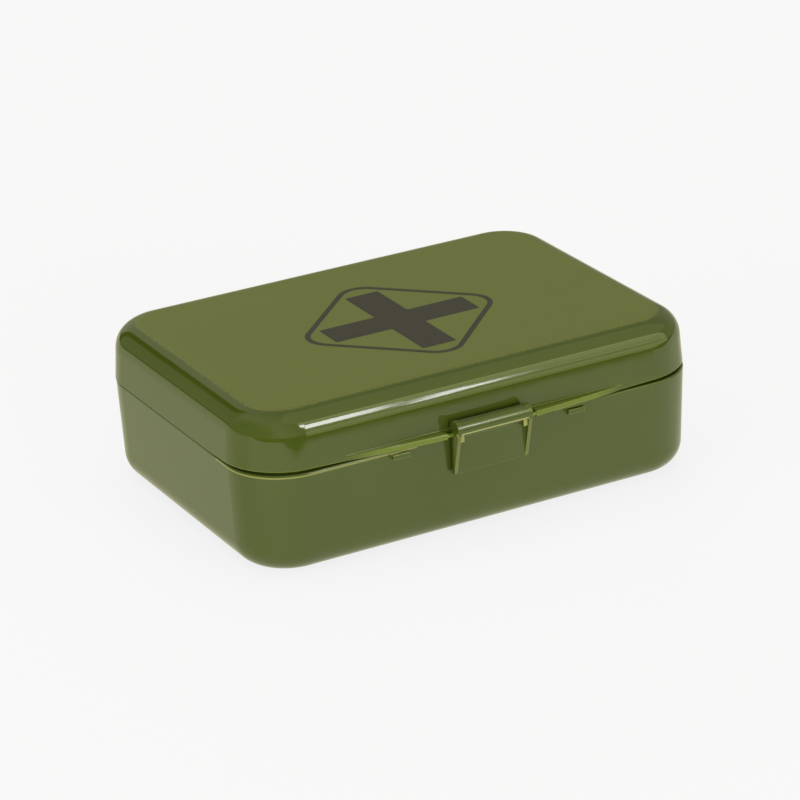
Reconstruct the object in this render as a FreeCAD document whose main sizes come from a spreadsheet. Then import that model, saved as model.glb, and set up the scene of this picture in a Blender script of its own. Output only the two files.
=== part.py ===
"""First aid kit: a hinged plastic box with a rocker latch on its front, and what it holds.

Millimetres, +Z up. The origin is the middle of the flat underside; the latch faces -Y and
the hinges +Y.
"""
import FreeCAD, Part
import Sketcher
import math
import os
import re

from FreeCAD import Placement, Rotation, Vector

DIMENSIONS = {
    # Box outline, measured at the parting line between tray and lid.
    "box_length": 160.0,
    "box_depth": 114.1,
    "corner_radius": 18.9,
    "tray_height": 34.0,
    "tray_draft": 2.2,
    "tray_floor_radius": 8.4,
    "tray_wall": 2.0,
    "rim_edge_radius": 0.6,
    # Tongue on the tray's rim, inside the lid's wall.
    "ledge_height": 3.5,
    "ledge_inset": 1.4,
    "tongue_height": 2.2,
    "tongue_inset": 2.5,
    "rim_inner_inset": 3.6,
    # Lid.
    "lid_gap": 0.15,
    "lid_inset": 0.6,
    "lid_side_inset": -0.25,
    "lid_back_inset": 0.0,
    "lid_height": 18.05,
    "lid_draft": 4.3,
    "lid_shoulder_radius": 8.2,
    "lid_wall": 1.6,
    "lid_edge_radius": 0.35,
    "corner_relief": 1.0,
    "corner_relief_reach": 20.0,
    # Lens-shaped lip along the lid's front edge, with a notch for the latch.
    "lip_length": 98.0,
    "lip_stand": 3.6,
    "lip_thickness": 2.0,
    "lip_edge_radius": 0.45,
    "notch_width": 31.5,
    "notch_centre": 0.25,
    # Rod across the notch, moulded with the lid; the latch rocks on it.
    "rod_radius": 0.65,
    "rod_stand": 1.9,
    "rod_height": 35.15,
    "rod_root": 2.0,
    # Latch.
    "latch_width": 26.2,
    "latch_centre": -0.25,
    "latch_clearance": 0.07,
    "cheek_thickness": 1.1,
    "barrel_radius": 2.8,
    "barrel_stand": 2.85,
    "barrel_height": 37.1,
    "boss_radius": 1.6,
    "clip_mouth": 1.1,
    "latch_bottom": 21.8,
    "bar_inset": 0.25,
    "bar_flat": 1.5,
    "plate_back": 0.7,
    "plate_inset": 0.5,
    "plate_foot": 1.15,
    "plate_head": 1.9,
    "hook_height": 1.4,
    "hook_reach": 0.45,
    "hook_overhang": 1.5,
    "gusset_width": 1.6,
    "gusset_depth": 2.2,
    "gusset_height": 2.7,
    # Catch for the latch and the two small tabs on the tray's front.
    "catch_width": 16.0,
    "catch_bottom": 23.6,
    "catch_height": 4.0,
    "catch_slope": 0.8,
    "catch_gap": 0.15,
    "catch_root": 1.0,
    "tab_width": 5.8,
    "tab_height": 1.6,
    "tab_top": 33.1,
    "tab_stand": 1.6,
    "tab_left": -31.1,
    "tab_right": 31.0,
    # Rear hinges.
    "hinge_offset": 45.0,
    "hinge_stand": 3.2,
    "knuckle_radius": 2.9,
    "tray_knuckle": 7.0,
    "lid_knuckle": 10.0,
    "knuckle_gap": 0.2,
    "bracket_root": 0.5,
    "bracket_gap": 0.15,
    "pin_radius": 1.2,
    "pin_clearance": 0.06,
    "pin_recess": 0.3,
    "stop_radius": 4.2,
    "stop_thickness": 1.6,
    "stop_angle": 17.0,
    # Contents.
    "content_base": 2.1,
    "film_edge": 1.2,
    "gauze_radius": 13.4,
    "gauze_length_long": 84.0,
    "gauze_length_short": 62.0,
    "gauze_edge": 1.0,
    "tape_radius": 18.0,
    "tape_width": 12.5,
    "tape_clearance": 0.03,
    "core_outer_radius": 10.5,
    "core_bore_radius": 8.6,
    "blade_thickness": 1.4,
    "blade_gap": 0.1,
    "handle_radius": 10.0,
    "handle_bore_radius": 6.8,
    "rivet_radius": 1.6,
    "rivet_head_radius": 3.0,
    "rivet_head_height": 0.7,
    "tweezers_width": 7.0,
    "pin_wire_radius": 0.45,
    "pin_length": 27.0,
    "pin_spread": 5.5,
    "pin_cap_length": 3.4,
}

# Flat packets and folded pieces: (length, depth, thickness, corner radius), centre x and y,
# and the height of the underside.
PACKETS = {
    "foil_blanket": ((78.0, 88.0, 11.0, 5.0), (28.0, 0.0), 2.1),
    "triangular_bandage": ((78.0, 86.0, 9.0, 5.0), (28.0, 0.0), 13.3),
    "gloves_packet": ((76.0, 43.0, 6.0, 4.0), (28.5, 24.0), 22.5),
    "compress_packets": ((60.0, 43.0, 6.0, 2.0), (21.0, -22.5), 22.5),
    "antiseptic_wipes": ((46.0, 40.0, 4.0, 2.0), (14.0, 23.5), 28.7),
    "wound_pad": ((26.0, 40.0, 4.0, 2.0), (52.5, 22.5), 28.7),
    "plaster_strips": ((70.0, 19.0, 4.4, 1.5), (26.0, -34.5), 28.7),
    "leaflet": ((50.0, 88.0, 1.2, 0.6), (-42.5, 0.0), 29.2),
}
PACKET_SIZES = ("length", "depth", "thickness", "corner")

# One half of the scissors, seen from above with the pivot at the origin and the tip at -X.
BLADE_OUTLINE = [
    (-46.0, -0.6),
    (-42.0, 1.4),
    (-6.0, 4.4),
    (4.0, 4.2),
    (30.0, -4.6),
    (30.0, -8.4),
    (3.0, -2.4),
    (-8.0, -1.4),
]
HANDLE_CENTRE = (38.0, -10.6)
SCISSORS_PIVOT = (20.0, -6.0)
SCISSORS_TURN = 6.0
SCISSORS_HEIGHT = 34.2

# Tweezers on their side, seen from above: two arms that meet at the +X end.
TWEEZERS_OUTLINE = [
    (-42.0, -1.2),
    (-40.0, -3.2),
    (20.0, -5.2),
    (38.0, -1.4),
    (42.0, 0.0),
    (38.0, 1.4),
    (20.0, 5.2),
    (-40.0, 3.2),
    (-42.0, 1.2),
    (-38.0, 1.6),
    (20.0, 3.8),
    (34.0, 0.5),
    (34.0, -0.5),
    (20.0, -3.8),
    (-38.0, -1.6),
]
TWEEZERS_PLACE = (24.0, 43.6, 33.0)

GAUZE_PLACES = {
    "gauze_roll_long": (-56.4, 0.0, "gauze_length_long"),
    "gauze_roll_short": (-28.9, 6.0, "gauze_length_short"),
}
TAPE_PLACE = (-42.5, 24.0, 30.6)
SAFETY_PIN_PLACES = [(-57.0, -30.0, 64.0), (-48.0, -24.0, 98.0), (-37.0, -26.0, 80.0), (-27.0, -22.0, 112.0)]
SAFETY_PIN_HEIGHT = 31.1

X_AXIS = Vector(1, 0, 0)
Y_AXIS = Vector(0, 1, 0)
Z_AXIS = Vector(0, 0, 1)

doc = FreeCAD.newDocument("first_aid_kit")
sheet = doc.addObject("Spreadsheet::Sheet", "dimensions")
subparts = []


# ---------------------------------------------------------------- spreadsheet

def fill_sheet():
    """Writes every driving dimension to a cell with its name as the alias."""
    values = dict(DIMENSIONS)
    for name, (sizes, _, _) in PACKETS.items():
        for word, value in zip(PACKET_SIZES, sizes):
            values[name + "_" + word] = value
    for row, (name, value) in enumerate(values.items(), start=1):
        sheet.set("A%d" % row, name)
        sheet.set("B%d" % row, str(value))
        sheet.setAlias("B%d" % row, name)
    doc.recompute()


def size(name):
    return float(sheet.get(name))


def bind(thing, **expressions):
    """Binds properties to expressions in the sheet's cell names, which all hold an underscore."""
    for prop, text in expressions.items():
        linked = re.sub(r"[a-z]+(_[a-z]+)+", lambda word: "dimensions." + word.group(), text)
        thing.setExpression(prop.replace("__", "."), linked)


# ---------------------------------------------------------------- helpers

def origin_plane(body, role):
    return next(item for item in body.Origin.OriginFeatures if item.Role == role)


def new_body(name):
    body = doc.addObject("PartDesign::Body", name + "_body")
    body.Label = name
    return body


def new_sketch(body, role, name):
    sketch = body.newObject("Sketcher::SketchObject", name)
    sketch.AttachmentSupport = [(origin_plane(body, role), "")]
    sketch.MapMode = "FlatFace"
    return sketch


def rounded_rectangle(sketch, length, depth, radius):
    """Draws a rounded rectangle about the sketch's origin, its three sizes bound to cells."""
    doc.recompute()
    half_x, half_y, r = 40.0, 30.0, 5.0
    corners = [(half_x - r, r - half_y, -90.0), (half_x - r, half_y - r, 0.0),
               (r - half_x, half_y - r, 90.0), (r - half_x, r - half_y, 180.0)]
    sides = [((r - half_x, -half_y), (half_x - r, -half_y)), ((half_x, r - half_y), (half_x, half_y - r)),
             ((half_x - r, half_y), (r - half_x, half_y)), ((-half_x, half_y - r), (-half_x, r - half_y))]
    lines = []
    arcs = []
    for (start, end), (x, y, angle) in zip(sides, corners):
        lines.append(sketch.addGeometry(Part.LineSegment(Vector(*start, 0), Vector(*end, 0)), False))
        circle = Part.Circle(Vector(x, y, 0), Z_AXIS, r)
        arc = Part.ArcOfCircle(circle, math.radians(angle), math.radians(angle + 90.0))
        arcs.append(sketch.addGeometry(arc, False))
    constrain = lambda *args: sketch.addConstraint(Sketcher.Constraint(*args))
    for index in range(4):
        following = lines[(index + 1) % 4]
        constrain("Tangent", lines[index], 2, arcs[index], 1)
        constrain("Tangent", arcs[index], 2, following, 1)
        constrain("Horizontal" if index % 2 == 0 else "Vertical", lines[index])
    for index in range(1, 4):
        constrain("Equal", arcs[0], arcs[index])
    constrain("Symmetric", lines[0], 1, lines[2], 1, -1, 1)
    bound = {
        constrain("Radius", arcs[0], r): radius,
        constrain("Distance", lines[0], 2 * (half_x - r)): "%s - 2 * ( %s )" % (length, radius),
        constrain("Distance", lines[1], 2 * (half_y - r)): "%s - 2 * ( %s )" % (depth, radius),
    }
    for index, text in bound.items():
        bind(sketch, **{"Constraints[%d]" % index: text})


def outline(sketch, points):
    """Draws a closed outline of straight lines through the points."""
    for start, end in zip(points, points[1:] + points[:1]):
        sketch.addGeometry(Part.LineSegment(Vector(*start, 0), Vector(*end, 0)), False)


def pad(body, sketch, length, draft=None, down=False):
    feature = body.newObject("PartDesign::Pad", sketch.Name + "_pad")
    feature.Profile = sketch
    feature.Reversed = down
    bind(feature, Length=length)
    if draft:
        bind(feature, TaperAngle="-" + draft)
    doc.recompute()
    return feature


def edge_names(shape, test):
    return ["Edge%d" % (i + 1) for i, edge in enumerate(shape.Edges) if test(edge)]


def fillet(body, feature, test, radius):
    rounded = body.newObject("PartDesign::Fillet", "rounded_edges")
    rounded.Base = (feature, edge_names(feature.Shape, test))
    bind(rounded, Radius=radius)
    doc.recompute()
    return rounded


def at_height(z, tolerance=0.01):
    """A test for edges that lie flat at the height z."""
    return lambda edge: abs(edge.BoundBox.ZMin - z) < tolerance and abs(edge.BoundBox.ZMax - z) < tolerance


def place(thing, x="0", y="0", z="0", axis=None, angle="0"):
    """Sets a placement whose position, and angle about an axis, follow the sheet."""
    if axis is not None:
        thing.Placement = Placement(Vector(), Rotation(axis, 1.0))
        bind(thing, Placement__Rotation__Angle=angle)
    bind(thing, Placement__Base__x=x, Placement__Base__y=y, Placement__Base__z=z)
    return thing


def box(name, length, width, height, **where):
    """A block with its lowest corner at the given place."""
    block = doc.addObject("Part::Box", name)
    bind(block, Length=length, Width=width, Height=height)
    return place(block, **where)


def cylinder(name, radius, height, **where):
    rod = doc.addObject("Part::Cylinder", name)
    bind(rod, Radius=radius, Height=height)
    return place(rod, **where)


def bar_along_x(name, radius, length, x, y, z):
    """A cylinder along +X that starts at x."""
    return cylinder(name, radius, length, x=x, y=y, z=z, axis=Y_AXIS, angle="90")


def fuse(name, *parts):
    union = doc.addObject("Part::MultiFuse", name)
    union.Shapes = list(parts)
    union.Refine = True
    return union


def cut(name, base, tool):
    result = doc.addObject("Part::Cut", name)
    result.Base = base
    result.Tool = tool
    return result


def finish_subpart(thing, label):
    thing.Label = label
    subparts.append(thing)
    return thing


# ---------------------------------------------------------------- tray

def drafted_block(name, base, height, draft, length, depth, corner, closed_edge, open_edge, down, shift):
    """A round-cornered block that narrows from its open end, with both ends' edges rounded."""
    body = new_body(name)
    sketch = new_sketch(body, "XY_Plane", name + "_outline")
    bind(sketch, AttachmentOffset__Base__z=base, AttachmentOffset__Base__y=shift)
    rounded_rectangle(sketch, length, depth, corner)
    solid = pad(body, sketch, height, draft, down)
    limits = solid.Shape.BoundBox
    ends = (limits.ZMin, limits.ZMax) if down else (limits.ZMax, limits.ZMin)
    solid = fillet(body, solid, at_height(ends[0]), closed_edge)
    if open_edge:
        fillet(body, solid, at_height(ends[1]), open_edge)
    return body


def shell(name, base, height, draft, length, depth, wall, closed_edge, open_edge, down, shift="0"):
    """A drafted shell with an even wall, open at one end; its middle may be shifted along Y."""
    outer = drafted_block(name + "_outer", base, height, draft, length, depth, "corner_radius",
                          closed_edge, open_edge, down, shift)
    inner = drafted_block(name + "_inner", base, "%s - %s" % (height, wall), draft,
                          "%s - 2 * %s" % (length, wall), "%s - 2 * %s" % (depth, wall),
                          "corner_radius - " + wall, "%s - %s" % (closed_edge, wall), None, down, shift)
    return cut(name, outer, inner)


def ring(name, inset_outer, inset_inner, base, height):
    """An upright ring that follows the box's outline, between two insets."""
    layers = []
    for kind, inset in (("outer", inset_outer), ("inner", inset_inner)):
        body = new_body("%s_%s" % (name, kind))
        sketch = new_sketch(body, "XY_Plane", "%s_%s_outline" % (name, kind))
        bind(sketch, AttachmentOffset__Base__z=base)
        rounded_rectangle(sketch, "box_length - 2 * " + inset, "box_depth - 2 * " + inset,
                          "corner_radius - %s + lid_inset" % inset)
        pad(body, sketch, height)
        layers.append(body)
    return cut(name, *layers)


def wedge_block(name, profile, length, x):
    """A prism along +X whose profile is a list of (y, z) points."""
    body = new_body(name)
    sketch = new_sketch(body, "YZ_Plane", name + "_profile")
    outline(sketch, profile)
    bind(sketch, AttachmentOffset__Base__z=x)
    pad(body, sketch, length)
    return body


def front_wall(z):
    """The depth of the tray's front face at the height z."""
    return -size("box_depth") / 2 + (size("tray_height") - z) * math.tan(math.radians(size("tray_draft")))


def hinge_parts(name, starts, width, bracket_low, bracket_high):
    """Knuckles on the hinge axis, each with a bracket to the wall beside it."""
    parts = []
    for side in (-1, 1):
        for number, start in enumerate(starts):
            x = "%d * hinge_offset + %s" % (side, start)
            label = "%s_%d_%d" % (name, side + 1, number)
            parts.append(bar_along_x(label, "knuckle_radius", width, x,
                                     "box_depth / 2 + hinge_stand", "tray_height"))
            parts.append(box(label + "_bracket", width, "hinge_stand + lid_inset + bracket_root",
                             "%s - ( %s )" % (bracket_high, bracket_low),
                             x=x, y="box_depth / 2 - lid_inset - bracket_root", z=bracket_low))
    return parts


def hinge_bores(name):
    """The hole along each hinge's axis, through all its knuckles."""
    bores = []
    for side in (-1, 1):
        start = "%d * hinge_offset - lid_knuckle / 2 - 2 * tray_knuckle" % side
        bores.append(bar_along_x("%s_bore_%d" % (name, side + 1), "pin_radius + pin_clearance",
                                 "lid_knuckle + 4 * tray_knuckle", start,
                                 "box_depth / 2 + hinge_stand", "tray_height"))
    return fuse(name + "_bores", *bores)


def make_tray():
    tray = shell("tray_shell", "tray_height", "tray_height", "tray_draft", "box_length", "box_depth",
                 "tray_wall", "tray_floor_radius", "rim_edge_radius", down=True)
    ledge = ring("rim_ledge", "ledge_inset", "rim_inner_inset", "tray_height - ledge_height", "ledge_height")
    tongue = ring("rim_tongue", "tongue_inset", "rim_inner_inset", "tray_height", "tongue_height")
    # The catch leans out with height as the hook does on its arc about the hinge.
    low, high = size("catch_bottom"), size("catch_bottom") + size("catch_height")
    hook = -size("box_depth") / 2 - size("plate_back") + size("hook_reach")
    gap, root = size("catch_gap"), size("catch_root")
    profile = [(front_wall(low) + root, low), (hook + gap, low), (hook - gap, high - size("catch_slope")),
               (hook + gap, high), (front_wall(high) + root, high)]
    catch = wedge_block("catch", profile, "catch_width", "latch_centre - catch_width / 2")
    tabs = [box(label, "tab_width", "tab_stand + tray_wall / 2", "tab_height",
                x="%s - tab_width / 2" % centre, y="-box_depth / 2 - tab_stand", z="tab_top - tab_height")
            for label, centre in (("left_tab", "tab_left"), ("right_tab", "tab_right"))]
    knuckles = hinge_parts("tray_knuckle_part",
                           ["lid_knuckle / 2 + knuckle_gap", "-lid_knuckle / 2 - knuckle_gap - tray_knuckle"],
                           "tray_knuckle", "tray_height - knuckle_radius", "tray_height - bracket_gap")
    solid = fuse("tray_solid", tray, ledge, tongue, catch, *tabs, *knuckles)
    return finish_subpart(cut("tray_bored", solid, hinge_bores("tray")), "tray")


# ---------------------------------------------------------------- lid

def make_lip():
    """The lens-shaped lip, turned about a far-off upright axis, with the notch and its rod."""
    half, stand = size("lip_length") / 2, size("lip_stand")
    height, edge = size("lip_thickness"), size("lip_edge_radius")
    radius = (half ** 2 + stand ** 2) / (2 * stand)
    body = new_body("lip_body")
    sketch = new_sketch(body, "YZ_Plane", "lip_section")
    corners = [(-radius + edge, edge, 180.0), (-radius + edge, height - edge, 90.0)]
    for y, z, angle in corners:
        circle = Part.Circle(Vector(y, z, 0), Z_AXIS, edge)
        sketch.addGeometry(Part.ArcOfCircle(circle, math.radians(angle), math.radians(angle + 90)), False)
    inner = -radius + 2 * stand
    sides = [(-radius, height - edge, -radius, edge), (-radius + edge, 0, inner, 0),
             (inner, 0, inner, height), (inner, height, -radius + edge, height)]
    for y, z, next_y, next_z in sides:
        sketch.addGeometry(Part.LineSegment(Vector(y, z, 0), Vector(next_y, next_z, 0)), False)
    turned = body.newObject("PartDesign::Revolution", "lip_turned")
    turned.Profile = sketch
    turned.ReferenceAxis = (sketch, ["V_Axis"])
    turned.Midplane = True
    turned.Angle = 2 * math.degrees(math.asin((half + stand) / radius))
    wall = -size("box_depth") / 2 + size("lid_inset")
    body.Placement = Placement(Vector(0, wall - stand + radius, size("tray_height") + size("lid_gap")),
                               Rotation())
    behind = box("behind_lip", "2 * lip_length", "8 * lip_stand", "2 * lip_thickness",
                 x="-lip_length", y="-box_depth / 2 + lid_inset + lid_wall / 2",
                 z="tray_height + lid_gap - lip_thickness / 2")
    notch = box("lip_notch", "notch_width", "2 * lip_stand", "2 * lip_thickness",
                x="notch_centre - notch_width / 2", y="-box_depth / 2 + lid_inset - 2 * lip_stand",
                z="tray_height + lid_gap - lip_thickness / 2")
    rod = bar_along_x("rod", "rod_radius", "notch_width + 2 * rod_root",
                      "notch_centre - notch_width / 2 - rod_root",
                      "-box_depth / 2 - rod_stand", "rod_height")
    return fuse("lip", cut("lip_parted", body, fuse("lip_cuts", behind, notch)), rod)


def corner_reliefs():
    """Two slanted slabs that thin the lid's edge towards its front corners."""
    slabs = []
    run = size("corner_relief_reach")
    tilt = math.degrees(math.atan(size("corner_relief") / run))
    for side in (-1, 1):
        slab = doc.addObject("Part::Box", "corner_relief_%d" % (side + 1))
        bind(slab, Length="corner_relief_reach * 3", Width="corner_relief_reach * 4",
             Height="corner_relief * 3")
        # The slab's upper face falls to the lid's edge along a line that cuts the corner off.
        outward = Vector(side, -1, 0).normalize()
        reach = (Vector(side * (size("box_length") / 2 - size("corner_radius")),
                        -size("box_depth") / 2 + size("corner_radius"), 0)
                 + outward * (size("corner_radius") - run))
        turn = Rotation(Z_AXIS, math.degrees(math.atan2(outward.y, outward.x)))
        lean = Rotation(Y_AXIS, -tilt)
        centre = Vector(0, -run * 2, -size("corner_relief") * 3)
        edge = Vector(reach.x, reach.y, size("tray_height") + size("lid_gap"))
        slab.Placement = Placement(edge, turn * lean) * Placement(centre, Rotation())
        slabs.append(slab)
    return fuse("corner_reliefs", *slabs)


def make_lid():
    lid = shell("lid_shell", "tray_height + lid_gap", "lid_height", "lid_draft",
                "( box_length - 2 * lid_side_inset )", "( box_depth - lid_inset - lid_back_inset )",
                "lid_wall", "lid_shoulder_radius", "lid_edge_radius", down=False,
                shift="( lid_inset - lid_back_inset ) / 2")
    relieved = cut("lid_relieved", lid, corner_reliefs())
    knuckles = hinge_parts("lid_knuckle_part", ["-lid_knuckle / 2"], "lid_knuckle",
                           "tray_height + lid_gap + bracket_gap", "tray_height + knuckle_radius")
    # A lug on each knuckle meets the tray's back wall and stops the lid.
    for side in (-1, 1):
        lug = doc.addObject("Part::Box", "stop_lug_%d" % (side + 1))
        bind(lug, Length="lid_knuckle", Width="stop_radius", Height="stop_thickness")
        axis = Vector(side * size("hinge_offset") - size("lid_knuckle") / 2,
                      size("box_depth") / 2 + size("hinge_stand"), size("tray_height"))
        lug.Placement = (Placement(axis, Rotation(X_AXIS, -size("stop_angle")))
                         * Placement(Vector(0, 0, -size("stop_thickness") / 2), Rotation()))
        knuckles.append(lug)
    solid = fuse("lid_solid", relieved, make_lip(), *knuckles)
    return finish_subpart(cut("lid_bored", solid, hinge_bores("lid")), "lid")


def make_hinge_pins():
    """Two plain steel pins, one through each hinge."""
    for side, label in ((-1, "hinge_pin_left"), (1, "hinge_pin_right")):
        pin = bar_along_x(label, "pin_radius",
                          "lid_knuckle + 2 * ( tray_knuckle + knuckle_gap - pin_recess )",
                          "%d * hinge_offset - lid_knuckle / 2 - tray_knuckle - knuckle_gap + pin_recess"
                          % side, "box_depth / 2 + hinge_stand", "tray_height")
        finish_subpart(pin, label)


# ---------------------------------------------------------------- latch

def tangent_point(start, centre, radius):
    """Where a line from start touches the circle on its left-hand side."""
    dy, dz = centre[0] - start[0], centre[1] - start[1]
    angle = math.atan2(dz, dy) + math.asin(radius / math.hypot(dy, dz))
    reach = math.sqrt(dy * dy + dz * dz - radius * radius)
    return (start[0] + reach * math.cos(angle), start[1] + reach * math.sin(angle))


def make_latch():
    """A rocker: two cheeks, a bar to press at the top, a plate between them and a hook."""
    front = -size("box_depth") / 2
    left, right = "latch_centre - latch_width / 2", "latch_centre + latch_width / 2"
    back, bottom = front - size("plate_back"), size("latch_bottom")
    rod_z = size("rod_height")
    barrel = (front - size("barrel_stand"), size("barrel_height"))
    foot = (back - size("plate_foot"), bottom)
    touch = tangent_point(foot, barrel, size("barrel_radius"))
    cheek = [(back, bottom), foot, touch, barrel,
             (barrel[0] + size("barrel_radius"), barrel[1]), (back, rod_z)]
    barrel_y, rod_y = "-box_depth / 2 - barrel_stand", "-box_depth / 2 - rod_stand"
    inner_width, inner_left = "latch_width - 2 * plate_inset", left + " + plate_inset"
    parts = []
    for label, x in (("left_cheek", left), ("right_cheek", right + " - cheek_thickness")):
        parts.append(wedge_block(label, cheek, "cheek_thickness", x))
        parts.append(bar_along_x(label + "_barrel", "barrel_radius", "cheek_thickness", x,
                                 barrel_y, "barrel_height"))
    # The bar has a flat underneath, in front of the plate.
    bar = bar_along_x("bar", "barrel_radius - bar_inset", inner_width, inner_left, barrel_y, "barrel_height")
    under_bar = box("under_bar", "latch_width", "2 * barrel_radius", "barrel_radius", x=left,
                    y="-box_depth / 2 - plate_back - plate_head - 2 * barrel_radius",
                    z="barrel_height - bar_flat - barrel_radius")
    parts.append(cut("bar_with_flat", bar, under_bar))
    parts.append(bar_along_x("boss", "boss_radius", "latch_width", left, rod_y, "rod_height"))
    # The plate is thicker towards the boss, and slightly behind the cheeks all the way down.
    plate = [(back, bottom), (foot[0] + size("pin_clearance"), bottom), (back - size("plate_head"), rod_z),
             (back, rod_z)]
    parts.append(wedge_block("plate", plate, inner_width, inner_left))
    parts.append(box("hook", "catch_width + 2 * hook_overhang", "hook_reach + plate_foot / 2", "hook_height",
                     x="latch_centre - catch_width / 2 - hook_overhang",
                     y="-box_depth / 2 - plate_back - plate_foot / 2", z="latch_bottom"))
    for label, x in (("left_gusset", left + " + plate_inset"),
                     ("right_gusset", right + " - cheek_thickness - gusset_width")):
        parts.append(box(label, "gusset_width + cheek_thickness - plate_inset", "gusset_depth",
                         "gusset_height + bar_flat / 2", x=x,
                         y="-box_depth / 2 - plate_back - plate_foot - gusset_depth",
                         z="barrel_height - bar_flat - gusset_height"))
    bore = bar_along_x("latch_bore", "rod_radius + latch_clearance", "latch_width", left, rod_y, "rod_height")
    mouth = box("latch_mouth", "latch_width", "2 * boss_radius", "clip_mouth", x=left, y=rod_y,
                z="rod_height - clip_mouth / 2")
    return finish_subpart(cut("latch_solid", fuse("latch_body", *parts), fuse("latch_openings", bore, mouth)),
                          "latch")


# ---------------------------------------------------------------- contents

def make_packets():
    """Flat packets: a rounded rectangle, padded, with its edges rounded."""
    for name, (_, (x, y), z) in PACKETS.items():
        body = new_body(name)
        sketch = new_sketch(body, "XY_Plane", name + "_outline")
        sizes = [name + "_" + word for word in PACKET_SIZES]
        rounded_rectangle(sketch, sizes[0], sizes[1], sizes[3])
        solid = pad(body, sketch, sizes[2])
        thickness = size(sizes[2])
        if thickness > 2 * size("film_edge"):
            flat = lambda edge: at_height(0)(edge) or at_height(thickness)(edge)
            fillet(body, solid, flat, "film_edge")
        body.Placement = Placement(Vector(x, y, z), Rotation())
        finish_subpart(body, name)


def make_gauze_rolls():
    """Wound gauze bandages that lie along Y on the tray's floor."""
    for name, (x, y, length) in GAUZE_PLACES.items():
        roll = cylinder(name + "_cylinder", "gauze_radius", length)
        rounded = doc.addObject("Part::Fillet", name + "_rounded")
        rounded.Base = roll
        doc.recompute()
        edge = size("gauze_edge")
        ends = [i + 1 for i, item in enumerate(roll.Shape.Edges) if isinstance(item.Curve, Part.Circle)]
        rounded.Edges = [(number, edge, edge) for number in ends]
        centre = Vector(x, y + size(length) / 2, size("content_base") + size("gauze_radius"))
        rounded.Placement = Placement(centre, Rotation(X_AXIS, 90))
        finish_subpart(rounded, name)


def make_tape():
    """A roll of adhesive tape on its plastic core, lying flat."""
    x, y, z = TAPE_PLACE
    rings = (("tape_roll", "tape_radius", "core_outer_radius + tape_clearance"),
             ("tape_core", "core_outer_radius", "core_bore_radius"))
    for name, outer, inner in rings:
        where = {"x": str(x), "y": str(y), "z": str(z)}
        ring_of = cut(name + "_ring", cylinder(name + "_outer", outer, "tape_width", **where),
                      cylinder(name + "_inner", inner, "tape_width", **where))
        finish_subpart(ring_of, name)


def make_scissors():
    """Two stamped steel halves on a rivet; the upper one is the lower one mirrored."""
    turned = Rotation(Z_AXIS, SCISSORS_TURN)
    thickness = size("blade_thickness")
    for level, (name, flip) in enumerate((("scissors_lower", 1), ("scissors_upper", -1))):
        body = new_body(name + "_blade")
        sketch = new_sketch(body, "XY_Plane", name + "_outline")
        outline(sketch, [(x, flip * y) for x, y in BLADE_OUTLINE])
        pad(body, sketch, "blade_thickness")
        x, y = HANDLE_CENTRE[0], flip * HANDLE_CENTRE[1]
        loop = cylinder(name + "_loop", "handle_radius", "blade_thickness", x=str(x), y=str(y))
        eye = cylinder(name + "_eye", "handle_bore_radius", "blade_thickness", x=str(x), y=str(y))
        hole = cylinder(name + "_hole", "rivet_radius + pin_clearance", "blade_thickness")
        half = cut(name + "_half", fuse(name + "_joined", body, loop), fuse(name + "_holes", eye, hole))
        height = SCISSORS_HEIGHT + level * (thickness + size("blade_gap"))
        half.Placement = Placement(Vector(*SCISSORS_PIVOT, height), turned)
        finish_subpart(half, name)
    grip = "2 * ( blade_thickness + blade_gap )"
    shank = cylinder("rivet_shank", "rivet_radius", grip)
    heads = [cylinder("rivet_head_%d" % number, "rivet_head_radius", "rivet_head_height", z=z)
             for number, z in enumerate(("-rivet_head_height", grip))]
    rivet = fuse("rivet", shank, *heads)
    rivet.Placement = Placement(Vector(*SCISSORS_PIVOT, SCISSORS_HEIGHT - size("blade_gap") / 2), Rotation())
    finish_subpart(rivet, "scissors_rivet")


def make_tweezers():
    body = new_body("tweezers")
    sketch = new_sketch(body, "XY_Plane", "tweezers_outline")
    outline(sketch, TWEEZERS_OUTLINE)
    pad(body, sketch, "tweezers_width")
    body.Placement = Placement(Vector(*TWEEZERS_PLACE), Rotation())
    finish_subpart(body, "tweezers")


def safety_pin():
    """One closed safety pin: two wires joined by a coil at one end and a cap at the other."""
    wire, length, spread = size("pin_wire_radius"), size("pin_length"), size("pin_spread")
    cap_length = size("pin_cap_length")
    coil_radius = 3 * wire
    lean = math.atan2(spread - 2 * coil_radius, length)
    lower = Part.makeCylinder(wire, length, Vector(0, -coil_radius, 0), X_AXIS)
    upper = Part.makeCylinder(wire, length / math.cos(lean), Vector(0, coil_radius, 0),
                              Vector(math.cos(lean), math.sin(lean), 0))
    coil = Part.makeTorus(coil_radius, 1.25 * wire, Vector(), Z_AXIS)
    cap_width = spread + 2 * wire
    cap_corner = Vector(length - 0.8 * cap_length, (spread - 2 * coil_radius - cap_width) / 2, -2 * wire)
    cap = Part.makeBox(cap_length, cap_width, 4 * wire, cap_corner)
    return cap.fuse([lower, upper, coil]).removeSplitter()


def make_safety_pins():
    pins = []
    for x, y, angle in SAFETY_PIN_PLACES:
        pin = safety_pin()
        pin.Placement = Placement(Vector(x, y, SAFETY_PIN_HEIGHT + size("pin_wire_radius")),
                                  Rotation(Z_AXIS, angle))
        pins.append(pin)
    group = doc.addObject("Part::Feature", "safety_pin_group")
    group.Shape = Part.makeCompound(pins)
    finish_subpart(group, "safety_pins")


# ---------------------------------------------------------------- build and write

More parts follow.
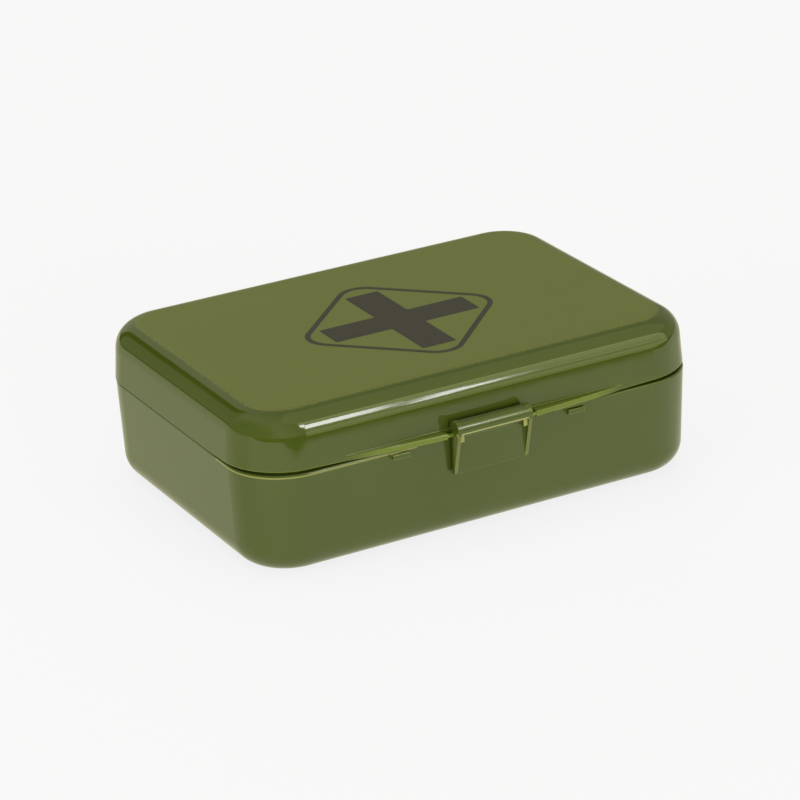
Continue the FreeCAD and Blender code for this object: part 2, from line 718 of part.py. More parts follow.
def check_and_write():
    """Stops if anything failed to build, then writes one STEP file per sub-part."""
    doc.recompute()
    for thing in doc.Objects:
        states = set(thing.State) & {"Invalid", "Error"}
        if states:
            raise RuntimeError("%s is %s" % (thing.Name, states))
    for thing in subparts:
        if thing.Shape.isNull() or not thing.Shape.isValid():
            raise RuntimeError("%s has no valid shape" % thing.Label)
    os.makedirs("parts", exist_ok=True)
    for thing in subparts:
        thing.Shape.exportStep("parts/%s.step" % thing.Label)
        limits = thing.Shape.BoundBox
        print("%-20s %2d solid(s) %9.1f mm3  x %6.1f %6.1f  y %6.1f %6.1f  z %5.1f %5.1f" % (
            thing.Label, len(thing.Shape.Solids), thing.Shape.Volume, limits.XMin, limits.XMax,
            limits.YMin, limits.YMax, limits.ZMin, limits.ZMax))


fill_sheet()
make_tray()
make_lid()
make_hinge_pins()
make_latch()
make_packets()
make_gauze_rolls()
make_tape()
make_scissors()
make_tweezers()
make_safety_pins()
check_and_write()
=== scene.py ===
"""First aid kit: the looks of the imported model, in metres, in the model's own frame."""

import math

import bmesh
import bpy
from mathutils import Matrix, Vector, noise


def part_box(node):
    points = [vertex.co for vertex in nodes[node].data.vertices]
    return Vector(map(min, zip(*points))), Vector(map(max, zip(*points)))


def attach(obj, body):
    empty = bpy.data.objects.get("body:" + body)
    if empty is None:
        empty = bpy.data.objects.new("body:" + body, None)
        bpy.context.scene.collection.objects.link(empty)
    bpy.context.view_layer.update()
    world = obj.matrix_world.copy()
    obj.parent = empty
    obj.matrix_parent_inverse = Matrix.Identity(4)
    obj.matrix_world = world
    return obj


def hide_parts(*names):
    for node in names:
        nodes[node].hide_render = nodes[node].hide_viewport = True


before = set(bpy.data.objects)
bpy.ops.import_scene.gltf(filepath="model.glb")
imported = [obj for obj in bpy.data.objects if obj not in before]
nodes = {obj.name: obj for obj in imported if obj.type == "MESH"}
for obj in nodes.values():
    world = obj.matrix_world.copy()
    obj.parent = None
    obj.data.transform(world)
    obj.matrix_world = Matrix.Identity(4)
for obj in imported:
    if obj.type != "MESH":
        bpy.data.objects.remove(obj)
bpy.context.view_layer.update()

MM = 0.001  # one millimetre, in metres


def srgb(red, green, blue):
    """A colour given as 0-255 display values, as linear RGBA."""
    def linear(value):
        value /= 255.0
        return value / 12.92 if value <= 0.04045 else ((value + 0.055) / 1.055) ** 2.4
    return (linear(red), linear(green), linear(blue), 1.0)


def darker(colour, share):
    """The same colour at a share of its brightness."""
    return tuple(share * part for part in colour[:3]) + (1.0,)


BOX_GREEN, BOX_GREEN_TINT = srgb(57, 68, 19), srgb(60, 71, 21)
PAINTED_EDGE_LIGHT_GREEN = srgb(112, 126, 32)  # painted light: paler colour on the edges and on the lid's lip
MATTE_GREEN = srgb(91, 99, 35)  # the lid's finely textured top
PAINTED_HIGHLIGHT_GREEN = srgb(196, 194, 112)  # painted highlights: spots painted palest of all


# ---------------------------------------------------------------- node helpers

class Nodes:
    """A small wrapper that adds and links the shader nodes of a material, or of the world."""

    def __init__(self, name, kind=bpy.data.materials, shader="Principled BSDF"):
        self.material = kind.new(name)
        self.material.use_nodes = True
        self.tree = self.material.node_tree
        self.shader = self.tree.nodes[shader]

    def add(self, kind, **inputs):
        node = self.tree.nodes.new(kind)
        for key, value in inputs.items():
            if key in node.inputs:
                self.join(value, node.inputs[key])
            else:
                setattr(node, key, value)
        return node

    def join(self, value, socket):
        if isinstance(value, bpy.types.NodeSocket):
            self.tree.links.new(value, socket)
        else:
            socket.default_value = value

    def set(self, **inputs):
        """Sets the shader's inputs; underscores in a name stand for spaces."""
        for key, value in inputs.items():
            self.join(value, self.shader.inputs[key.replace("_", " ")])

    def place(self):
        """Where a point is on the object, in metres."""
        return self.add("ShaderNodeTexCoord").outputs["Object"]

    def noise(self, scale, detail=2.0, roughness=0.5, vector=None, distortion=0.0):
        node = self.add("ShaderNodeTexNoise", Scale=scale, Detail=detail, Roughness=roughness,
                        Distortion=distortion)
        self.join(vector or self.place(), node.inputs["Vector"])
        return node.outputs["Fac"]

    def ramp(self, factor, *stops):
        """Colours or grey values along a factor: each stop is (position, value)."""
        node = self.add("ShaderNodeValToRGB")
        self.join(factor, node.inputs["Fac"])
        elements = node.color_ramp.elements
        while len(elements) < len(stops):
            elements.new(0.5)
        for element, (position, value) in zip(elements, stops):
            element.position = position
            element.color = value if isinstance(value, tuple) else (value, value, value, 1.0)
        return node.outputs["Color"]

    def split(self, vector):
        return self.add("ShaderNodeSeparateXYZ", Vector=vector).outputs

    def within(self, axis, low, high):
        """1 where the place along an axis lies between two values, and 0 elsewhere."""
        value = self.split(self.place())[axis]
        return self.math("MULTIPLY", self.math("GREATER_THAN", value, low),
                         self.math("LESS_THAN", value, high))

    def math(self, operation, *values):
        node = self.add("ShaderNodeMath", operation=operation)
        for value, socket in zip(values, node.inputs):
            self.join(value, socket)
        return node.outputs["Value"]

    def mix(self, factor, first, second):
        node = self.add("ShaderNodeMix", data_type="RGBA")
        self.join(factor, node.inputs["Factor"])
        self.join(first, node.inputs["A"])
        self.join(second, node.inputs["B"])
        return node.outputs["Result"]

    def blend_values(self, factor, first, second):
        node = self.add("ShaderNodeMix", data_type="FLOAT")
        self.join(factor, node.inputs["Factor"])
        self.join(first, node.inputs["A"])
        self.join(second, node.inputs["B"])
        return node.outputs["Result"]

    def bump(self, height, distance, strength=1.0, normal=None):
        node = self.add("ShaderNodeBump", Strength=strength, Distance=distance, Height=height)
        if normal:
            self.join(normal, node.inputs["Normal"])
        return node.outputs["Normal"]

    def bevel(self, radius):
        return self.add("ShaderNodeBevel", samples=6, Radius=radius).outputs["Normal"]


def assign(node, material):
    """Gives every slot of a CAD node or piece this material."""
    mesh = node.data
    if not mesh.materials:
        mesh.materials.append(material)
    for slot in node.material_slots:
        slot.link = "OBJECT"
        slot.material = material


# ---------------------------------------------------------------- materials

def matte_top(n, base, roughness, normal, above):
    """The finely textured top of the lid: paler, rougher and a little smeared, with a ragged border.

    It covers what faces almost straight up and lies over the given height.
    """
    ragged = n.math("MULTIPLY_ADD", n.noise(900.0, 4.0), 0.03, -0.015)
    upright = n.split(n.add("ShaderNodeTexCoord").outputs["Normal"])["Z"]
    flat = n.ramp(n.math("ADD", upright, ragged), (0.97, 0.0), (0.995, 1.0))
    flat = n.math("MULTIPLY", flat, n.math("GREATER_THAN", n.split(n.place())["Z"], above))
    speck = n.noise(1500.0, 3.0, 0.6)
    across = n.add("ShaderNodeMapping", Vector=n.place(), Rotation=(0.0, 0.0, 0.9),
                   Scale=(14.0, 90.0, 14.0)).outputs["Vector"]
    smear = n.ramp(n.noise(1.0, 4.0, 0.6, across), (0.35, 0.94), (0.7, 1.0))
    grain = n.math("MULTIPLY", n.ramp(speck, (0.3, 0.88), (0.7, 1.0)), smear)
    base = n.mix(n.math("MULTIPLY", grain, flat), base, MATTE_GREEN)
    normal = n.bump(n.math("MULTIPLY", flat, speck), 0.012 * MM, 0.5, normal)
    return base, n.blend_values(flat, roughness, 0.4), normal


def box_plastic(name, roughness, edge_width, matte_above=None, painted_highlights=()):
    """Glossy moulded polypropylene: slight colour drift, a fine skin, and soft edges painted paler as a
    painted highlight.

    matte_above is the height over which the lid's top is textured. Each painted highlight is a strength, and
    the limits in mm along X, Y and Z of a spot that is painted paler.
    """
    n = Nodes(name)
    drift = n.ramp(n.noise(18.0, 3.0), (0.35, 0.0), (0.65, 1.0))
    base = n.mix(drift, BOX_GREEN, BOX_GREEN_TINT)
    wear = n.ramp(n.noise(60.0, 4.0), (0.4, 0.0), (0.7, 1.0))
    roughness = n.blend_values(wear, roughness, roughness + 0.03)
    # Near an edge, the rounded normal turns away from the face's own; there the colour is painted paler, a
    # painted highlight along every edge.
    turned = n.add("ShaderNodeVectorMath", operation="DOT_PRODUCT")
    n.join(n.bevel(edge_width), turned.inputs[0])
    n.join(n.add("ShaderNodeNewGeometry").outputs["Normal"], turned.inputs[1])
    edge = n.ramp(turned.outputs["Value"], (0.8, 0.7), (0.985, 0.0))
    base = n.mix(edge, base, PAINTED_EDGE_LIGHT_GREEN)
    # Each spot is painted paler, a painted highlight.
    for strength, *limits in painted_highlights:
        for axis, (low, high) in zip("XYZ", limits):
            strength = n.math("MULTIPLY", n.within(axis, low * MM, high * MM), strength)
        base = n.mix(strength, base, PAINTED_HIGHLIGHT_GREEN)
    normal = n.bump(n.noise(90.0, 1.0), 0.02 * MM, 0.6, n.bevel(0.25 * MM))
    normal = n.bump(n.noise(700.0, 2.0), 0.001 * MM, 0.6, normal)
    if matte_above:
        # The lip stands out in front of the wall, and from 56.4 to 57.8 mm forward it is painted paler:
        # painted light showing through the thin lip.
        forward = n.math("MULTIPLY", n.split(n.place())["Y"], -1 / (100 * MM))
        base = n.mix(n.ramp(forward, (0.564, 0.0), (0.578, 0.45)), base, PAINTED_EDGE_LIGHT_GREEN)
        base, roughness, normal = matte_top(n, base, roughness, normal, matte_above)
    n.set(Base_Color=base, Roughness=roughness, Normal=normal, IOR=1.49)
    return n.material


def ink():
    """Screen-printed ink: dark, matt and slightly uneven."""
    n = Nodes("printed_ink")
    speckle = n.ramp(n.noise(2600.0, 3.0), (0.3, srgb(44, 39, 38)), (0.75, srgb(60, 55, 53)))
    n.set(Base_Color=speckle, Roughness=0.55, Specular_IOR_Level=0.3,
          Normal=n.bump(n.noise(1800.0), 0.01 * MM, 0.4))
    return n.material


def steel(name, colour, roughness):
    """Bare metal with faint streaks in its polish."""
    n = Nodes(name)
    streaks = n.noise(900.0, 3.0)
    n.set(Base_Color=colour, Metallic=1.0,
          Roughness=n.blend_values(streaks, roughness - 0.06, roughness + 0.08),
          Normal=n.bump(streaks, 0.003 * MM, 0.5))
    return n.material


def film(name, colour, roughness, crinkle, metallic=0.0, band=None, band_colour=None):
    """Packet film, foil or paper with fine creases, and a printed band between two places along X."""
    n = Nodes(name)
    if band:
        colour = n.mix(n.within("X", *band), colour, band_colour)
    shaded = n.add("ShaderNodeHueSaturation", Color=colour, Value=0.86).outputs["Color"]
    base = n.mix(n.ramp(n.noise(90.0, 4.0), (0.35, 0.0), (0.65, 1.0)), shaded, colour)
    creases = n.ramp(n.noise(240.0, 3.0, 0.6, distortion=1.5), (0.42, 0.0), (0.5, 1.0), (0.58, 0.0))
    normal = n.bump(creases, crinkle, 0.7, n.bump(n.noise(120.0, 2.0), 3 * crinkle, 0.6))
    n.set(Base_Color=base, Metallic=metallic, Normal=normal,
          Roughness=n.blend_values(creases, roughness, roughness + 0.15))
    return n.material


def cloth(name, colour, pitch, depth, stretch=1.0):
    """Plain weave: two sets of threads at the given pitch, with slubs and a little unevenness."""
    n = Nodes(name)
    threads = []
    for direction, scale in (("X", 1.0), ("Y", stretch), ("Z", stretch)):
        wave = n.add("ShaderNodeTexWave", bands_direction=direction, Scale=0.314 * scale / pitch,
                     Distortion=1.2, Detail=2.0, Vector=n.place())
        wave.inputs["Detail Scale"].default_value = 3.0
        threads.append(wave.outputs["Fac"])
    weave = n.math("MULTIPLY", threads[0], n.math("MAXIMUM", threads[1], threads[2]))
    slubs = n.noise(1.0 / pitch, 3.0)
    base = n.mix(n.ramp(weave, (0.1, 0.0), (0.7, 1.0)), darker(colour, 0.72), colour)
    height = n.math("ADD", weave, n.math("MULTIPLY", slubs, 0.4))
    n.set(Base_Color=base, Roughness=0.92, Sheen_Weight=0.25, Normal=n.bump(height, depth, 0.8))
    return n.material


def moulded(name, colour):
    """Plain matt moulded plastic with a fine skin."""
    n = Nodes(name)
    skin = n.noise(1200.0, 3.0)
    n.set(Base_Color=n.mix(skin, darker(colour, 0.9), colour), Roughness=0.45,
          Normal=n.bump(skin, 0.01 * MM, 0.5, n.bevel(0.2 * MM)))
    return n.material


# ---------------------------------------------------------------- mesh helpers

def new_piece(name, mesh_data, material, body):
    """An object from a bmesh, riding on a CAD body."""
    mesh = bpy.data.meshes.new(name)
    mesh_data.to_mesh(mesh)
    mesh_data.free()
    piece = bpy.data.objects.new(name, mesh)
    bpy.context.scene.collection.objects.link(piece)
    mesh.materials.append(material)
    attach(piece, body)
    return piece


def rounded_polygon(corners, radius, steps):
    """The outline of a polygon with round corners, each in that many steps; the corners run anticlockwise."""
    points = []
    count = len(corners)
    for index in range(count):
        here = Vector(corners[index])
        before = (Vector(corners[index - 1]) - here).normalized()
        after = (Vector(corners[(index + 1) % count]) - here).normalized()
        half = before.angle(after) / 2
        convex = before.x * after.y - before.y * after.x < 0
        centre = here + (before + after).normalized() * (radius / math.sin(half))
        start = here + before * (radius / math.tan(half)) - centre
        sweep = (math.pi - 2 * half) * (1 if convex else -1)
        for step in range(steps + 1):
            turn = Matrix.Rotation(sweep * step / steps, 2)
            points.append(centre + turn @ start)
    return points


def flat_film(bm, outline, z_low, z_high, hole=None):
    """Adds a thin closed plate with that outline, or a band between an outline and a hole."""
    def loop(points, z):
        return [bm.verts.new((point.x, point.y, z)) for point in points]

    def walls(low, high):
        for index in range(len(low)):
            following = (index + 1) % len(low)
            bm.faces.new((low[index], low[following], high[following], high[index]))

    low, high = loop(outline, z_low), loop(outline, z_high)
    walls(low, high)
    if hole is None:
        bm.faces.new(high)
        bm.faces.new(low[::-1])
        return
    hole_low, hole_high = loop(hole, z_low), loop(hole, z_high)
    walls(hole_high, hole_low)
    for index in range(len(high)):
        following = (index + 1) % len(high)
        bm.faces.new((high[index], high[following], hole_high[following], hole_high[index]))
        bm.faces.new((low[following], low[index], hole_low[index], hole_low[following]))


# ---------------------------------------------------------------- printed mark

def printed_mark():
    """A generic first aid pictogram printed on the lid: an upright cross in a square on its corner."""
    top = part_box("lid")[1][2]
    centre = Vector((-0.5, -3.5)) * MM
    arm, half_width, edge = 25.9 * MM, 5.95 * MM, 0.5 * MM
    cross = [(arm, -half_width), (arm, half_width), (half_width, half_width), (half_width, arm),
             (-half_width, arm), (-half_width, half_width), (-arm, half_width), (-arm, -half_width),
             (-half_width, -half_width), (-half_width, -arm), (half_width, -arm), (half_width, -half_width)]
    reach, line, corner = 36.5 * MM, 1.8 * MM, 8.7 * MM

    def tilted_square(inset, radius):
        far = reach - inset * math.sqrt(2)
        return rounded_polygon([(far, 0), (0, far), (-far, 0), (0, -far)], radius, 14)

    bm = bmesh.new()
    low, high = top - 0.02 * MM, top + 0.03 * MM
    flat_film(bm, rounded_polygon(cross, edge, 4), low, high)
    flat_film(bm, tilted_square(0, corner), low, high, tilted_square(line, corner - line))
    bmesh.ops.translate(bm, verts=bm.verts, vec=(centre.x, centre.y, 0))
    bmesh.ops.recalc_face_normals(bm, faces=bm.faces)
    piece = new_piece("printed_mark", bm, ink(), "lid")


# ---------------------------------------------------------------- contents

def pillow(bm, low, high, seam, plump, wrinkle, seed, turn=0.0, teeth=0.0):
    """Adds a sealed packet: a puffed middle in a flat seam, with creases that run in from the seam."""
    cell, wave_size, fold_size, half_film = 1.25 * MM, 16 * MM, 6 * MM, 0.05 * MM
    centre, half = (low + high) / 2, (high - low) / 2
    rest = low.z + 0.35 * (high.z - low.z)
    columns, rows = (max(8, round(2 * size / cell)) for size in half.xy)
    spin = Matrix.Rotation(turn, 2)
    sides = ([], [])
    for row in range(rows + 1):
        for column in range(columns + 1):
            u, v = 2 * column / columns - 1, 2 * row / rows - 1
            x, y = u * half.x, v * half.y
            inner = (max(0.0, 1 - abs(x / (half.x - seam)) ** plump)
                     * max(0.0, 1 - abs(y / (half.y - seam)) ** plump))
            puff = inner ** 0.4
            border = abs(u) == 1 or abs(v) == 1
            if abs(u) == 1:
                x -= math.copysign(teeth * (row % 2), u)
            flat = spin @ Vector((x, y)) + centre.xy
            wave = noise.noise(Vector((flat.x / wave_size, flat.y / wave_size, seed)))
            fold = 1 - abs(noise.noise(Vector((flat.x / fold_size, flat.y / fold_size, seed + 7.0)))) * 3
            crease = wrinkle * (0.25 + 3 * puff * (1 - puff)) * fold
            seam_z = rest + 0.12 * half.z * wave
            for side, reach in ((0, high.z - rest - wrinkle), (1, rest - low.z)):
                lift = puff * reach * (1 + 0.08 * wave) + (crease if puff > 0 else 0.0) * (1 - 0.7 * side)
                z = seam_z if border else seam_z + (lift + half_film) * (1 - 2 * side)
                z = min(max(z, low.z), high.z)
                if border and side:
                    sides[1].append(sides[0][-1])
                else:
                    sides[side].append(bm.verts.new((flat.x, flat.y, z)))
    for side in sides:
        for row in range(rows):
            for column in range(columns):
                first = row * (columns + 1) + column
                bm.faces.new((side[first], side[first + 1], side[first + columns + 2],
                              side[first + columns + 1]))


def ribbon(bm, path, thickness, low, high, place, fray, seed):
    """Adds a long strip: it follows a flat path, and spans low to high along the third direction.

    place turns a point of the path and a height into a place in space, and fray roughens both borders.
    """
    rings = []
    for index, here in enumerate(path):
        tangent = Vector(path[min(index + 1, len(path) - 1)]) - Vector(path[max(index - 1, 0)])
        side = Vector((-tangent.y, tangent.x)).normalized() * (thickness / 2)
        ends = [end + fray * noise.noise(Vector((index * 0.35, seed, end * 100))) for end in (low, high)]
        corners = [(Vector(here) - side, ends[0]), (Vector(here) + side, ends[0]),
                   (Vector(here) + side, ends[1]), (Vector(here) - side, ends[1])]
        rings.append([bm.verts.new(place(point.x, point.y, height)) for point, height in corners])
    for before, after in zip(rings, rings[1:]):
        for corner in range(4):
            following = (corner + 1) % 4
            bm.faces.new((before[corner], before[following], after[following], after[corner]))
    bm.faces.new(rings[0][::-1])
    bm.faces.new(rings[-1])


def spiral(inner, outer, pitch, steps, uneven, seed):
    """A spiral path from the inner to the outer radius, and its length."""
    turns = (outer - inner) / pitch
    path = []
    for index in range(int(turns * steps) + 1):
        angle = 2 * math.pi * index / steps
        radius = inner + pitch * index / steps
        ripple = noise.noise(Vector((math.cos(angle), math.sin(angle), seed))) - 1
        radius += uneven * radius / outer * ripple
        path.append((radius * math.cos(angle), radius * math.sin(angle)))
    return path, math.pi * (outer + inner) * turns


def finish_content(name, bm, material, node, smooth=True):
    """Makes a packed item that rides on the base and stands for the CAD node that it replaces."""
    bmesh.ops.recalc_face_normals(bm, faces=bm.faces)
    piece = new_piece(name, bm, material, "base")
    for polygon in piece.data.polygons:
        polygon.use_smooth = smooth
    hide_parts(node)
    return piece


def packet(name, node, material, layers=1, seam=3.0, plump=5.0, wrinkle=0.3, teeth=0.0, turns=(0.0,)):
    """One packet, or a stack of equal ones that don't lie quite square, in a node's place.

    seam, wrinkle and teeth are in mm, and turns in degrees.
    """
    low, high = (Vector(corner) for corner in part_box(node))
    step = (high.z - low.z) / layers
    bm = bmesh.new()
    for layer in range(layers):
        turn = math.radians(turns[layer % len(turns)])
        slack = Vector((abs(turn) * (high.y - low.y) / 2, abs(turn) * (high.x - low.x) / 2, 0))
        bottom, top = low.z + layer * step, low.z + (layer + 1) * step - 0.02 * MM
        pillow(bm, Vector((low.x, low.y, bottom)) + slack, Vector((high.x, high.y, top)) - slack,
               seam * MM, plump, wrinkle * MM, 3.1 * layer + low.x * 100, turn, teeth * MM)
    piece = finish_content(name, bm, material, node)


def wound_roll(name, node, material, pitch, inner, along, uneven, fray, steps):
    """Cloth or tape wound into a roll in a node's place, with its layers open at both ends."""
    low, high = (Vector(corner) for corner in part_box(node))
    centre = (low + high) / 2
    outer = (high.x - low.x) / 2 - pitch / 2
    path, length = spiral(inner, outer, pitch, steps, uneven, low.x * 100)
    ends = (low.y, high.y) if along == "Y" else (low.z, high.z)

    def place(sideways, upward, lengthways):
        if along == "Y":
            return (centre.x + sideways, lengthways, centre.z + upward)
        return (centre.x + sideways, centre.y + upward, lengthways)

    bm = bmesh.new()
    ribbon(bm, path, 0.86 * pitch, ends[0] + fray, ends[1] - fray, place, fray, low.x * 100)
    piece = finish_content(name, bm, material, node, smooth=False)


def leaflet(node, material):
    """A sheet of paper folded into four, in a zigzag."""
    low, high = (Vector(corner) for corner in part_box(node))
    layers, parts, paper, margin = 4, 8, 0.1 * MM, 0.4 * MM
    rise = (high.z - low.z - paper) / (layers - 0.5)
    path = []
    for layer in range(layers):
        ends = (low.x + margin, high.x - margin)[::1 if layer % 2 == 0 else -1]
        start = low.z + paper / 2 + layer * rise
        for part in range(parts + 1):
            share = part / parts
            bow = 0.25 * rise * math.sin(math.pi * share)
            turn_up = 0.5 * rise * share ** 8
            path.append((ends[0] + (ends[1] - ends[0]) * share, start + bow + turn_up))

    def place(across, upward, forward):
        return (across, forward, upward)

    bm = bmesh.new()
    ribbon(bm, path, paper, low.y, high.y, place, 0.0, 0)
    piece = finish_content("leaflet_folded", bm, material, node)


def packets():
    """The flat packets of film, foil, paper and gauze."""
    white, cream = (0.86, 0.86, 0.84, 1.0), (0.8, 0.74, 0.62, 1.0)
    foil = film("foil_film", (0.72, 0.73, 0.75, 1.0), 0.22, 0.12 * MM, metallic=1.0)
    packet("foil_blanket_packet", "foil_blanket", foil, plump=8.0, wrinkle=0.5)

    calico = cloth("bandage_film", (0.82, 0.82, 0.78, 1.0), 0.5 * MM, 0.08 * MM)
    packet("triangular_bandage_packet", "triangular_bandage", calico,
           seam=4.0, plump=8.0, wrinkle=0.4)

    blue_film = film("gloves_film", (0.16, 0.36, 0.6, 1.0), 0.3, 0.15 * MM)
    packet("gloves_packet_film", "gloves_packet", blue_film,
           seam=4.0, plump=4.0, wrinkle=0.6)

    teal_banded = film("compress_paper", white, 0.6, 0.04 * MM, band=(-4 * MM, 6 * MM),
                       band_colour=(0.05, 0.3, 0.32, 1.0))
    packet("compress_packet_pair", "compress_packets", teal_banded, layers=2,
           seam=4.0, plump=6.0, teeth=0.5, turns=(0.4, -0.5))

    navy_banded = film("sachet_foil", (0.84, 0.86, 0.88, 1.0), 0.35, 0.06 * MM, band=(24 * MM, 32 * MM),
                       band_colour=(0.03, 0.14, 0.4, 1.0))
    packet("antiseptic_wipe_sachets", "antiseptic_wipes", navy_banded, layers=2,
           seam=3.5, plump=4.0, teeth=0.6, turns=(1.2, -1.0))

    open_weave = cloth("pad_gauze", white, 0.8 * MM, 0.12 * MM)
    packet("wound_pad_packet", "wound_pad", open_weave, seam=1.5, plump=6.0, wrinkle=0.15)

    tan_banded = film("plaster_paper", cream, 0.55, 0.03 * MM, band=(14 * MM, 38 * MM),
                      band_colour=(0.72, 0.5, 0.34, 1.0))
    packet("plaster_strip_stack", "plaster_strips", tan_banded, layers=5,
           seam=1.5, plump=4.0, wrinkle=0.1, teeth=0.4, turns=(0.8, -1.0, 0.3, -0.6, 1.1))


def rolls():
    """The two gauze rolls, and the tape on its core."""
    gauze = cloth("gauze_fabric", (0.84, 0.81, 0.74, 1.0), 0.9 * MM, 0.2 * MM, stretch=0.6)
    for node in ("gauze_roll_long", "gauze_roll_short"):
        wound_roll(node + "_wound", node, gauze, pitch=1.05 * MM, inner=1.4 * MM, along="Y",
                   uneven=0.35 * MM, fray=0.5 * MM, steps=56)
    tape = cloth("tape_fabric", (0.8, 0.76, 0.68, 1.0), 0.35 * MM, 0.04 * MM)
    wound_roll("tape_roll_wound", "tape_roll", tape, pitch=0.3 * MM, inner=10.75 * MM,
               along="Z", uneven=0.0, fray=0.05 * MM, steps=72)


def contents():
    """Everything packed in the tray."""
    packets()
    rolls()
    leaflet("leaflet",
            film("leaflet_paper", (0.88, 0.88, 0.87, 1.0), 0.65, 0.02 * MM, band=(-66 * MM, -60 * MM),
                 band_colour=(0.05, 0.3, 0.12, 1.0)))
    assign(nodes["tape_core"], moulded("core_plastic", (0.82, 0.82, 0.8, 1.0)))
    scissors_steel = steel("scissors_steel", (0.62, 0.62, 0.63, 1.0), 0.28)
    assign(nodes["scissors_lower"], scissors_steel)
    assign(nodes["scissors_upper"], scissors_steel)
    assign(nodes["scissors_rivet"], steel("rivet_steel", (0.55, 0.55, 0.55, 1.0), 0.22))
    assign(nodes["tweezers"], steel("tweezers_steel", (0.66, 0.66, 0.68, 1.0), 0.2))
    assign(nodes["safety_pins"], steel("pin_steel", (0.72, 0.71, 0.69, 1.0), 0.14))


# ---------------------------------------------------------------- camera, lights and floor

def camera():
    """A long lens from the front left, a little above."""
    place = Vector((-495.33, -938.26, 467.70)) * MM
    azimuth, elevation, roll = (math.radians(angle) for angle in (-27.834, 22.74, -2.704))
    back = Vector((math.sin(azimuth) * math.cos(elevation), -math.cos(azimuth) * math.cos(elevation),
                   math.sin(elevation)))
    level = Vector((math.cos(azimuth), math.sin(azimuth), 0))
    upright = back.cross(level)
    right = math.cos(roll) * level + math.sin(roll) * upright
    up = back.cross(right)
    turn = Matrix((right, up, back)).transposed().to_4x4()
    data = bpy.data.cameras.new("camera")
    data.sensor_width, data.lens = 36.0, 161.07  # both in mm
    data.clip_start, data.clip_end = 0.05, 50.0
    camera_object = bpy.data.objects.new("camera", data)
    camera_object.matrix_world = Matrix.Translation(place) @ turn
    bpy.context.scene.collection.objects.link(camera_object)
    bpy.context.scene.camera = camera_object


def softbox(name, place, aim, width, height, glow, mirrored, colour=(1.0, 1.0, 1.0), lean=0.0):
    """A flat light of even glow at a place, aimed at a point.

    A mirrored one shows in glossy reflections only, and the others give soft light only.
    """
    data = bpy.data.lights.new(name, "AREA")
    data.shape, data.size, data.size_y = "RECTANGLE", width, height
    data.energy = glow * math.pi * width * height
    data.color = colour
    light = bpy.data.objects.new(name, data)
    light.visible_glossy = mirrored
    light.visible_diffuse = not mirrored
    facing = (Vector(place) - Vector(aim)).to_track_quat("Z", "Y").to_matrix()
    turn = facing @ Matrix.Rotation(-lean, 3, "Z")
    light.matrix_world = Matrix.Translation(place) @ turn.to_4x4()
    bpy.context.scene.collection.objects.link(light)


def front_card(name, left, right, bottom, top, glow, colour=(1.0, 1.0, 1.0), lean=0.0):
    """An upright mirrored card in front of the box, given by its edges; it can lean to the right."""
    forward = -1.24
    middle, height = (left + right) / 2, (bottom + top) / 2
    softbox(name, (middle, forward, height), (middle, 0, height), right - left, top - bottom, glow, True,
            colour, lean)


def room():
    """A dim room that shows by direction: panels behind the box, and a softer glow in front of it.

    The panels have a dark gap between them, and are dark low down except on the right.
    """
    dark, tinted = (0.0, 0.0, 0.0, 1.0), (1.0, 1.0, 0.7, 1.0)
    n = Nodes("room", bpy.data.worlds, "Background")
    bpy.context.scene.world = n.material
    toward = n.split(n.add("ShaderNodeTexCoord").outputs["Generated"])
    sideways, backward = (n.math("MULTIPLY_ADD", toward[axis], 0.5, 0.5) for axis in "XY")
    panels = n.ramp(sideways, (0.0, 0.3), (0.352, 0.3), (0.357, 0.0), (0.447, 0.0), (0.452, 0.65),
                    (0.6, 0.6), (0.68, 0.4))
    lit = n.math("MAXIMUM", n.ramp(toward["Z"], (0.05, 0.0), (0.055, 1.0)),
                 n.ramp(sideways, (0.62, 0.0), (0.64, 1.0)))
    panels = n.math("MULTIPLY", panels, lit)
    front = n.ramp(toward["Z"], (0.0, 0.0), (0.04, 0.5))
    front = n.math("MULTIPLY", front, n.ramp(sideways, (0.1, 0.5), (0.3, 1.7), (0.65, 1.0)))
    glow = n.mix(n.ramp(backward, (0.78, 0.0), (0.86, 1.0)), front, panels)
    n.set(Color=n.mix(glow, dark, tinted), Strength=1.0)


def floor_plane(name, outline, diffuse, near_glow, far_glow, mirrored):
    """A glowing floor, just under the box: near_glow in front of the box, far_glow beside and behind it.

    A mirrored one shows in glossy reflections only, and the other kind in all else.
    """
    drop = 0.05 * MM
    n = Nodes(name + "_paper")
    backward = n.math("ADD", n.split(n.place())["Y"], 0.5)
    glow = n.ramp(backward, (0.43, near_glow), (0.47, far_glow))
    n.set(Base_Color=(diffuse, diffuse, diffuse, 1.0), Roughness=0.9, Specular_IOR_Level=0.0,
          Emission_Color=glow, Emission_Strength=1.0)
    bm = bmesh.new()
    bm.faces.new([bm.verts.new((x, y, 0)) for x, y in outline])
    mesh = bpy.data.meshes.new(name)
    bm.to_mesh(mesh)
    bm.free()
    mesh.materials.append(n.material)
    floor = bpy.data.objects.new(name, mesh)
    floor.location = (0, 0, -drop)
    bpy.context.scene.collection.objects.link(floor)
    floor.visible_glossy = mirrored
    floor.visible_camera = floor.visible_diffuse = floor.visible_shadow = not mirrored


def floors():
    """A pale floor that shows, and a warmer one that only the gloss mirrors.

    The mirrored one ends in front of the box, so that the gloss shows a dark band past its edge.
    """
    reach, front_y, left_y = 6, -0.198, -0.82
    pale, near, far = (0.815, 0.815, 0.83, 1.0), (1.08, 1.07, 0.86, 1.0), (0.84, 0.8, 0.58, 1.0)
    floor_plane("floor", [(-reach, -reach), (reach, -reach), (reach, reach), (-reach, reach)], 0.12,
                pale, pale, False)
    floor_plane("floor_sheen", [(-reach, left_y), (0, front_y), (reach, front_y), (reach, reach),
                                (-reach, reach)], 0.0, near, far, True)


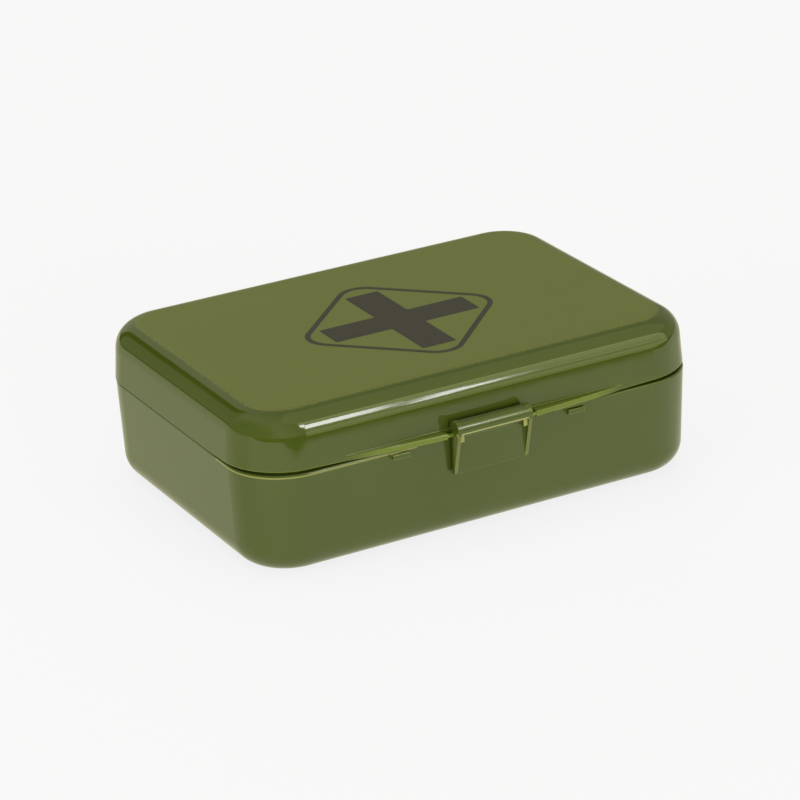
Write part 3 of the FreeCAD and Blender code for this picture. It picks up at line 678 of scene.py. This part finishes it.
def studio():
    """The floors, a dim room, cards that show in the gloss, and soft lights."""
    bpy.context.scene.view_settings.view_transform = "Standard"
    room()
    floors()
    # The tube makes the broken highlight along the lid's front shoulder, and its pieces follow one slant.
    tube, slant, link = 17.0, 0.24, 4.0
    front_card("tube_end", 0.38, 0.5, 0.8, 1.2, tube)
    front_card("tube_left", 0.5, 0.626, 0.57, 1.03, tube, lean=slant)
    front_card("tube_link", 0.61, 0.65, 0.69, 0.75, link, lean=slant)
    front_card("tube_right", 0.618, 0.65, 0.41, 0.83, tube, lean=slant)
    front_card("tube_tip", 0.65, 0.681, 0.5, 0.72, tube, lean=slant)
    # The bands make the dimmer sheen under and over it.
    warm, band, band_edge = (0.95, 1.0, 0.5), 1.6, 2.6
    front_card("band_low", 0.36, 3.0, -0.06, 0.33, band, warm)
    front_card("band_high", 0.36, 3.0, 0.4, 1.4, band, warm)
    front_card("band_edge", 0.36, 3.0, 1.4, 1.6, band_edge, warm)
    box_middle = (0, 0, 0)
    softbox("ceiling", (1.1, -0.6, 2.2), box_middle, 2.6, 2.6, 0.45, True, warm)
    softbox("overhead", (0.0, 0.2, 1.8), box_middle, 1.4, 1.4, 1.08, False)
    softbox("front_fill", (0.1, -1.8, 0.35), box_middle, 1.6, 0.7, 7.2, False)
    softbox("left_fill", (-1.8, -0.1, 0.35), box_middle, 1.4, 0.7, 8.5, False)
    softbox("back_fill", (0.6, 1.8, 0.5), box_middle, 1.2, 1.0, 3.2, False)


# ---------------------------------------------------------------- box

def box_pieces():
    """The CAD pieces of the box itself: lid, latch, tray and hinge pins."""
    assign(nodes["lid"], box_plastic("lid_plastic", 0.05, 0.6 * MM, matte_above=50 * MM))
    # Painted highlights on the latch: under the bar, the gussets and the cheeks are painted paler where light
    # catches them.
    under_bar = (0.42, (-20, 20), (-62.35, -61.3), (35.25, 36.2))
    left_gusset = (0.34, (-12.2, -10.6), (-62, -59), (32.5, 35.6))
    right_gusset = (0.4, (10.5, 11.75), (-62, -59), (32.5, 35.6))
    left_cheek = (0.1, (-20, -12.2), (-70, -59), (20, 35))
    right_cheek = (0.1, (11.75, 20), (-70, -59), (20, 35))
    assign(nodes["latch"], box_plastic("latch_plastic", 0.1, 0.35 * MM, painted_highlights=(
        under_bar, left_gusset, right_gusset, left_cheek, right_cheek)))
    # Painted highlight: a pale line painted along the tray's rim edge at the front left corner, under the
    # lid.
    rim_corner = (0.25, (-82, -25), (-62, -30), (33.0, 33.5))
    assign(nodes["tray"], box_plastic("tray_plastic", 0.14, 0.6 * MM, painted_highlights=(rim_corner,)))
    hinge_steel = steel("hinge_steel", (0.6, 0.6, 0.61, 1.0), 0.32)
    assign(nodes["hinge_pin_left"], hinge_steel)
    assign(nodes["hinge_pin_right"], hinge_steel)


# ---------------------------------------------------------------- build

camera()
studio()
box_pieces()
printed_mark()
contents()
